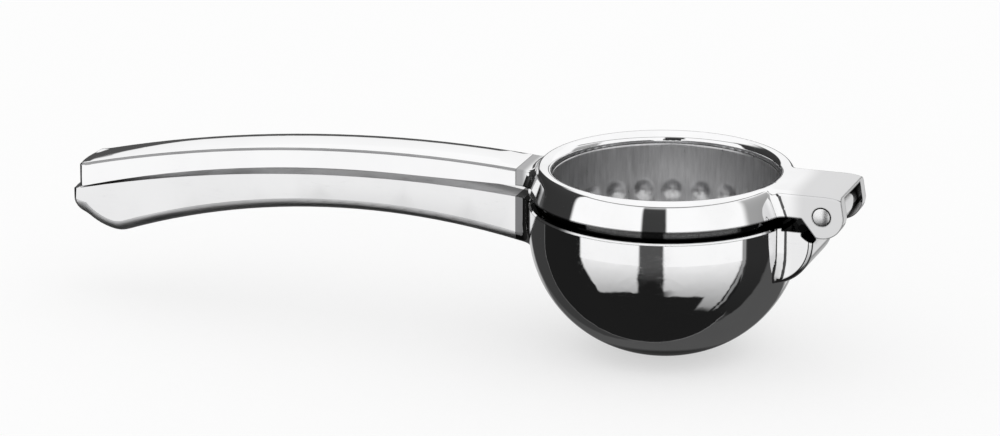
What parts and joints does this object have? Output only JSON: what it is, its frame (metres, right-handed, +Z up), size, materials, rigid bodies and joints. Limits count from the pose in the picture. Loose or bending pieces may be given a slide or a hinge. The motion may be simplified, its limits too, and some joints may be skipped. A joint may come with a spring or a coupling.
{
  "type": "citrus squeezer",
  "caption": "Hinged hand citrus squeezer with long arched handles: a dimpled press cup set in a ring closes into a drained half-round bowl.",
  "frame": {"origin": "centre of the small flat under the bowl, on the bowl's axis", "axes": "+Z up along the bowl's axis, +X towards the hinge, the handles towards -X, +Y along the hinge axis"},
  "size_m": [0.2245, 0.074, 0.0517],
  "materials": {
    "polished_metal": "mirror polished",
    "satin_metal": "satin",
    "pin_metal": "polished"
  },
  "bodies": {
    "lower_lever": {"strainer_bowl": "polished_metal", "lower_handle": "polished_metal"},
    "upper_lever": {"press_ring": "polished_metal", "upper_handle": "polished_metal", "press_cup": "satin_metal", "hinge_pin": "pin_metal"}
  },
  "joints": [
    {"name": "hinge", "type": "hinge", "parent": "lower_lever", "child": "upper_lever", "pos_m": [0.0467, 0, 0.0451], "axis": [0, 1, 0], "range_deg": [0, 140]}
  ]
}
